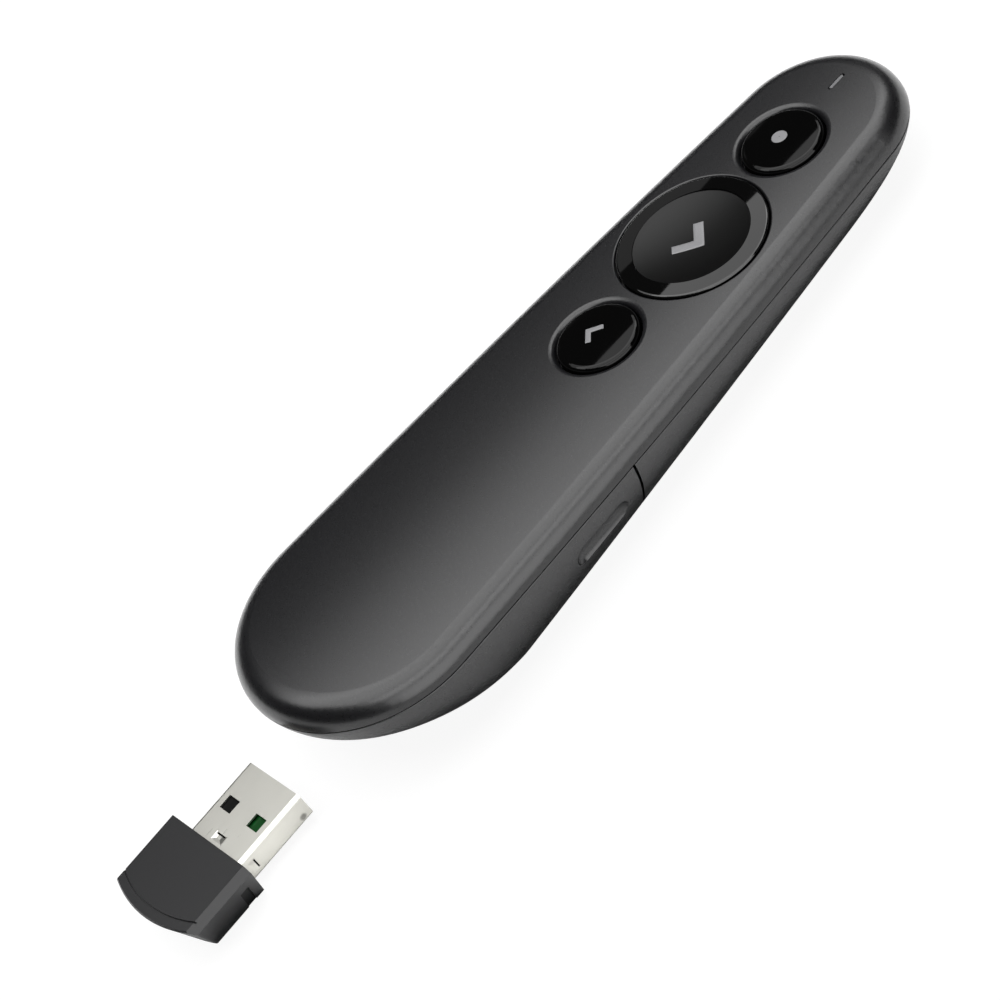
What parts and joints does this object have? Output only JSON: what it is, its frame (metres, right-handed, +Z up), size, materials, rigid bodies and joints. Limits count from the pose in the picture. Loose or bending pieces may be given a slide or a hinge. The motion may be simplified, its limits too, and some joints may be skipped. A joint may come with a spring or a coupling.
{
  "type": "wireless presentation clicker",
  "caption": "Slim matte graphite presentation remote with round glossy black keys down its middle and a small metal-plugged wireless receiver lying at its tail.",
  "frame": {"origin": "middle of the whole footprint, clicker and receiver together, on the table", "axes": "+Z up out of the table, +Y along the clicker toward its nose, +X across it"},
  "size_m": [0.041, 0.1652, 0.0182],
  "materials": {
    "graphite_abs": "fine matte moulded texture, graphite",
    "gloss_black_abs": "high gloss black",
    "satin_black_abs": "satin black",
    "dark_lens": "smoked clear plastic",
    "natural_pom": "natural white acetal",
    "green_board": "green solder mask",
    "switch_body": "black moulded",
    "chip_epoxy": "black epoxy",
    "tinned_steel": "nickel plated",
    "ferrite": "dark grey ferrite",
    "ceramic": "tan ceramic",
    "clear_lens": "clear moulded",
    "polyimide": "amber film",
    "turned_brass": "turned brass",
    "black_tray_abs": "black moulded",
    "cell_sleeve": "plain printed sleeve",
    "screw_steel": "black zinc plated",
    "receiver_abs": "satin charcoal",
    "plug_steel": "bright nickel plated, folded",
    "gold_plate": "gold plated"
  },
  "bodies": {
    "case": {"top_shell": "graphite_abs", "lower_shell": "graphite_abs", "laser_window": "dark_lens", "button_carrier": "natural_pom", "main_board": "green_board", "switch_laser": "switch_body", "switch_next": "switch_body", "switch_back": "switch_body", "radio_chip": "chip_epoxy", "crystal": "tinned_steel", "power_chip": "chip_epoxy", "inductor": "ferrite", "capacitors": "ceramic", "light_pipe": "clear_lens", "status_lamp": "clear_lens", "lamp_flex": "polyimide", "laser_barrel": "turned_brass", "laser_lens": "clear_lens", "laser_diode": "tinned_steel", "battery_tray": "black_tray_abs", "battery_can": "cell_sleeve", "battery_cap": "tinned_steel", "contact_plus": "tinned_steel", "contact_minus": "tinned_steel", "battery_spring": "tinned_steel", "tray_screws": "screw_steel", "case_screw": "screw_steel"},
    "door": {"battery_door": "graphite_abs"},
    "laser_key": {"laser_button": "gloss_black_abs", "plunger_laser": "natural_pom"},
    "next_key": {"next_ring": "gloss_black_abs", "next_pad": "satin_black_abs", "plunger_next": "natural_pom"},
    "back_key": {"back_button": "gloss_black_abs", "plunger_back": "natural_pom"},
    "receiver": {"receiver_housing": "receiver_abs", "receiver_shell": "plug_steel", "receiver_board": "green_board", "receiver_chip": "chip_epoxy", "receiver_tongue": "black_tray_abs", "receiver_contacts": "gold_plate"}
  },
  "joints": [
    {"name": "laser_press", "type": "slide", "parent": "case", "child": "laser_key", "axis": [0, -0.0454, -0.999], "range_m": [0, 0.0004], "stiffness_N_per_m": 900},
    {"name": "next_press", "type": "slide", "parent": "case", "child": "next_key", "axis": [0, -0.0454, -0.999], "range_m": [0, 0.0004], "stiffness_N_per_m": 900},
    {"name": "back_press", "type": "slide", "parent": "case", "child": "back_key", "axis": [0, -0.0454, -0.999], "range_m": [0, 0.0004], "stiffness_N_per_m": 900},
    {"name": "door_slide", "type": "slide", "parent": "case", "child": "door", "axis": [0, -0.999, 0.0454], "range_m": [0, 0.008]},
    {"name": "receiver_lift", "type": "slide", "parent": "case", "child": "receiver", "axis": [0, -0.5, 0.866], "range_m": [0, 0.03]}
  ]
}
